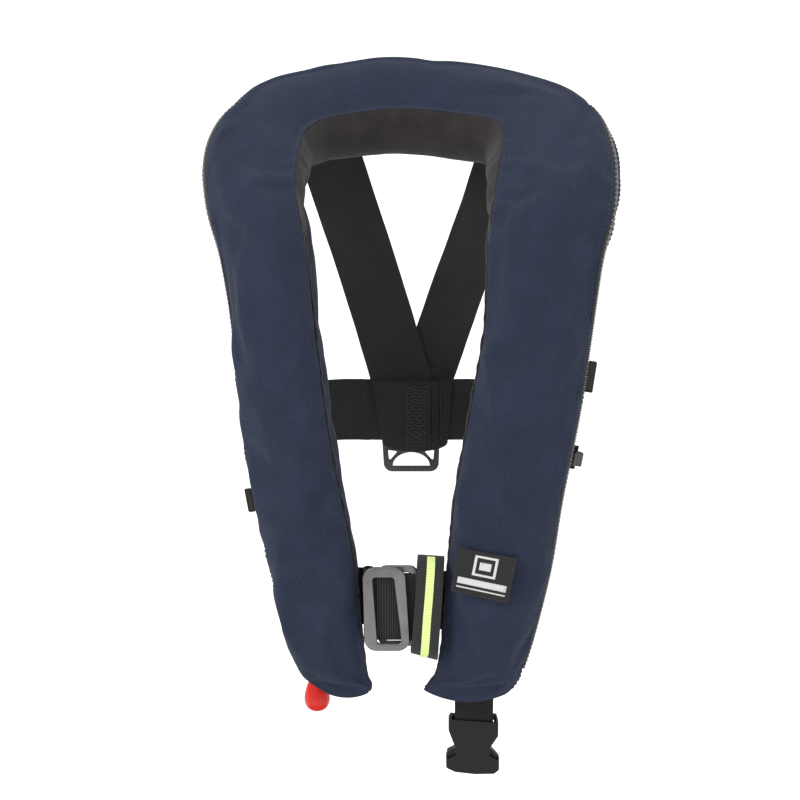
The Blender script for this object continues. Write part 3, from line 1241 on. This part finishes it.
def side_release(paint):
    """The female half of the side-release buckle and the short crotch tab that it hangs on."""
    top = SOCKET_BAR.z + 2.5
    low = SOCKET_BAR.z - 49.0
    outline = [(39, 0), (37.2, -3), (37.2, -13.5), (43, -29), (36.2, -32.5), (35.2, -37),
               (35.2, -47), (43, -50.8), (60, -52.8), (76.5, -52.5), (80.8, -49), (80.8, -38),
               (72.9, -29), (79.9, -18.5), (79.9, -6), (78.3, -0.5)]
    outline = rounded([(x, top + z) for x, z in outline], 2.2, 5)
    middle, y = SOCKET_BAR.x, SOCKET_BAR.y
    body = plate("socket_body", [outline], y - 1, SOCKET_DEEP, paint["plastic"], 2.0, 5)
    body = cut(
        body,
        cutter_box((middle, y, low + 8), (27, 6.4, 36)),  # mouth
        cutter_box((middle, y + 0.6, top - 8), (34.4, 13, 6)),  # slot for the tab
        cutter_box((middle, y - 4.05, top - 2.5), (37.7, 3.7, 12.3)),  # room round the tab
        cutter_box((middle, y + 6.2, top - 2.5), (37.7, 8, 12.3)),
        cutter_box((middle, y - 7.8, top), (37.7, 4, 9), 4.0),  # front lip
        cutter_box((38.5, y - 7.8, top - 33.5), (8, 6, 7), -28.0),  # thumb notches
        cutter_box((77.5, y - 7.8, top - 34), (8, 6, 8), 30.0),
    )
    smooth_shading(body, 32)
    finish_piece(body, "socket", ["side_release_socket"])
    line = stadium(SOCKET_BAR, SOCKET_BAR + Vector((0, 0, 33)), 4.8, (1, 0, 0))
    strip = ribbon("crotch_tab_web", line, 33, paint["crotch"], (1, 0, 0), 1.6, 0.0, 0.2)
    finish_piece(strip, "crotch_web", ["crotch_tab"])


def label(paint):
    """The woven patch with a stitched border and a generic mark of satin bars."""
    low_left, low_right, top_right, top_left = (Vector(p) for p in (
        (37, -187.5, -353), (85, -184.5, -365), (92.5, -183, -326), (44, -186.5, -316)))
    right, up = low_right - low_left, top_left - low_left
    out = -right.cross(up).normalized() if right.cross(up).y > 0 else right.cross(up).normalized()

    def at(u, v, lift):
        return low_left.lerp(low_right, u).lerp(top_left.lerp(top_right, u), v) + out * lift

    high, wide = 18, 22
    rows = [[at(j / wide, i / high, 0.25 * wander(j / 5.0, i / 5.0, seed=21))
             for j in range(wide + 1)] for i in range(high + 1)]
    patch = grid_piece("woven_patch", rows, [up.length * i / high for i in range(high + 1)],
                       [right.length * j / wide for j in range(wide + 1)], paint["label"])
    finish_piece(thicken(patch, 1.1), ROOT, ["woven_label"])
    corners = [(0.03, 0.04), (0.97, 0.04), (0.97, 0.96), (0.03, 0.96)]
    border = []
    for (u0, v0), (u1, v1) in zip(corners, corners[1:] + corners[:1]):
        line = [at(u0 + (u1 - u0) * k / 10, v0 + (v1 - v0) * k / 10, 0.75) for k in range(11)]
        border.append((line, [tuple(out)] * 11))
    stitches("patch_border_stitching", border, paint["thread_dark"], 2.4, 0.9, 0.3)
    bars = []
    for u0, v0, u1, v1 in (
        (0.30, 0.86, 0.70, 0.91), (0.30, 0.46, 0.70, 0.51), (0.30, 0.46, 0.345, 0.91),
        (0.655, 0.46, 0.70, 0.91), (0.40, 0.60, 0.60, 0.77), (0.08, 0.23, 0.92, 0.37),
        (0.08, 0.14, 0.92, 0.17),
    ):
        rows = [[at(u0 + (u1 - u0) * j / 12, v0 + (v1 - v0) * i / 4,
                    0.78 + 0.14 * math.sin(math.pi * i / 4)) for j in range(13)] for i in range(5)]
        bar = grid_piece("stroke", rows, range(5), range(13), paint["thread_white"])
        bars.append(applied(thicken(bar, 0.3, rounded_rims=False)))
    finish_piece(join("generic_white_mark", bars))


# ---------------------------------------------------------------- carried-over CAD nodes
CARRIED = {
    "inflator_body": "black", "pull_lever": "black", "inflator_nut": "zinc",
    "co2_cylinder": "zinc", "cartridge_cap": "yellow", "status_indicator": "green",
    "firing_pin": "steel", "firing_spring": "steel", "lever_pin": "steel",
    "oral_tube": "rubber", "oral_flange": "rubber", "oral_valve_poppet": "yellow",
    "oral_cap": "yellow", "whistle": "orange", "zip_slider": "slider",
}
# Soft CAD solids remade as cloth: body, slot, finish, bevel in mm, and wrinkle height in mm.
SOFTENED = {
    "bladder": (ROOT, "bladder", "bladder", 0.0, 0.9),
    "side_tab_left": (ROOT, "webbing", "tab", 0.7, 0.25),
    "side_tab_right": (ROOT, "webbing", "tab", 0.7, 0.25),
    "lifting_loop": (ROOT, "webbing", "web", 0.5, 0.3),
    "belt_loop_left": (ROOT, "webbing", "web", 0.5, 0.2),
    "belt_loop_right": (ROOT, "webbing", "web", 0.5, 0.2),
    "zip_pull": ("slider_pull", "webbing", "web", 0.4, 0.15),
    "whistle_cord": (ROOT, "cord", "cord", 0.0, 0.1),
}


def softened(paint):
    """Finer, rounder and slightly wrinkled versions of the soft CAD solids."""
    for name, (body, slot, key, round_by, wrinkle) in SOFTENED.items():
        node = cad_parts[name]
        bm = bmesh.new()
        bm.from_mesh(node.data)
        bm.transform(node.matrix_world)
        bmesh.ops.remove_doubles(bm, verts=bm.verts, dist=1e-6)
        data = bpy.data.meshes.new(f"{name}_cloth")
        if round_by:
            bmesh.ops.bevel(bm, geom=[e for e in bm.edges if e.calc_face_angle(0.0) > 0.6],
                            offset=round_by * MM, segments=2, affect="EDGES", profile=0.6)
            bmesh.ops.triangulate(bm, faces=bm.faces)
        else:
            bmesh.ops.smooth_vert(bm, verts=bm.verts, factor=0.2, use_axis_x=True,
                                  use_axis_y=True, use_axis_z=True)
        for _ in range(2 if name != "bladder" else 1):
            long = [e for e in bm.edges if e.calc_length() > 2.5 * MM]
            bmesh.ops.subdivide_edges(bm, edges=long, cuts=1, use_grid_fill=True)
        bmesh.ops.triangulate(bm, faces=bm.faces)
        bm.normal_update()
        for v in bm.verts:
            at = v.co / MM
            v.co -= v.normal * (0.5 + 0.5 * wander(*(at / 6.0), seed=41)) * wrinkle * MM
        layer = bm.loops.layers.uv.new(CLOTH_UV)
        for face in bm.faces:
            flat = max(range(3), key=lambda k: abs(face.normal[k]))
            u, v = [k for k in (2, 0, 1) if k != flat]
            for loop in face.loops:
                loop[layer].uv = (loop.vert.co[u], loop.vert.co[v])
        bm.to_mesh(data)
        bm.free()
        obj = add_object(f"{name}_cloth", data, paint[key])
        smooth_shading(obj, 50)
        finish_piece(obj, body, [name])


def valve_spring(paint):
    """The mouth valve's spring, whose upper end follows the poppet."""
    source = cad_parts["oral_valve_spring"]
    mesh = source.data.copy()
    mesh.transform(source.matrix_world)
    spring = add_object("oral_valve_spring_wire", mesh)
    mesh.materials.clear()
    mesh.materials.append(paint["steel"])
    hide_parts("oral_valve_spring")
    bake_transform(spring)


def carried_over(paint):
    """Finishes for the CAD nodes that show as they are."""
    for name, key in CARRIED.items():
        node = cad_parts[name]
        node.data.materials.clear()
        node.data.materials.append(paint[key])


# ---------------------------------------------------------------- camera, light, floor
def stage():
    """Camera at the photograph's angle, white surroundings, pale floor and three soft lights."""
    target = Vector((-0.0044, -0.030, -0.225))
    elevation, distance = math.radians(12), 2.4
    scene = bpy.context.scene
    cam = add_object("photo_camera", bpy.data.cameras.new("photo_camera"))
    cam.location = target + distance * Vector((0, -math.cos(elevation), math.sin(elevation)))
    cam.rotation_euler = (target - cam.location).to_track_quat("-Z", "Y").to_euler()
    cam.data.lens, cam.data.sensor_width = 123.75, 36
    cam.data.dof.use_dof = False
    scene.camera = cam
    scene.view_settings.view_transform = "Standard"
    scene.world = world = bpy.data.worlds.new("studio")
    world.use_nodes = True
    tree = world.node_tree
    background = tree.nodes["Background"]
    background.inputs["Color"].default_value = (1, 1, 1, 1)
    seen = tree.nodes.new("ShaderNodeLightPath").outputs["Is Camera Ray"]
    strength = tree.nodes.new("ShaderNodeMath")  # 1 where it is seen, less as a light
    strength.operation = "MULTIPLY_ADD"
    strength.inputs[1].default_value, strength.inputs[2].default_value = 0.43, 0.57
    tree.links.new(seen, strength.inputs[0])
    tree.links.new(strength.outputs[0], background.inputs["Strength"])
    far, drop = 30.0, -1.3
    floor_data = bpy.data.meshes.new("floor")
    floor_data.from_pydata([(-far, -far, drop), (far, -far, drop), (far, far, drop),
                            (-far, far, drop)], [], [(0, 1, 2, 3)])
    p = Paint("pale_floor", 0.9)
    away = p.node("ShaderNodeVectorMath", {0: p.place()}, output=1, operation="LENGTH")
    shade = p.ramp(away, 1500.0, 1800.0)
    p.colour(p.mix(shade, (0.45, 0.45, 0.46), (0.96, 0.96, 0.96)))
    p.shader.inputs["Emission Color"].default_value = (1, 1, 1, 1)
    p.tree.links.new(p.times(shade, 0.75), p.shader.inputs["Emission Strength"])
    add_object("floor", floor_data, p.mat)
    for name, place, size, power in (("key", (-1.7, -1.9, 1.7), 1.3, 40),
                                     ("top", (0.3, 0.2, 2.2), 1.6, 23),
                                     ("fill", (1.9, -1.8, 0.5), 1.6, 4)):
        light = bpy.data.lights.new(name, "AREA")
        light.size, light.energy = size, power
        obj = add_object(name, light)
        obj.location = place
        obj.rotation_euler = (target - obj.location).to_track_quat("-Z", "Y").to_euler()


# ---------------------------------------------------------------- assembly
def main():
    paint = make_paints()
    stage()
    rings = horseshoe_rings()
    front, back, points = cover(rings, paint)
    zipper(rings, paint)
    seam_details(front, back, points, paint)
    harness(paint)
    front_buckle(paint)
    soft_loop(paint)
    back_ring(paint)
    keeper(paint)
    toggle(paint)
    side_release(paint)
    label(paint)
    softened(paint)
    valve_spring(paint)
    carried_over(paint)


main()
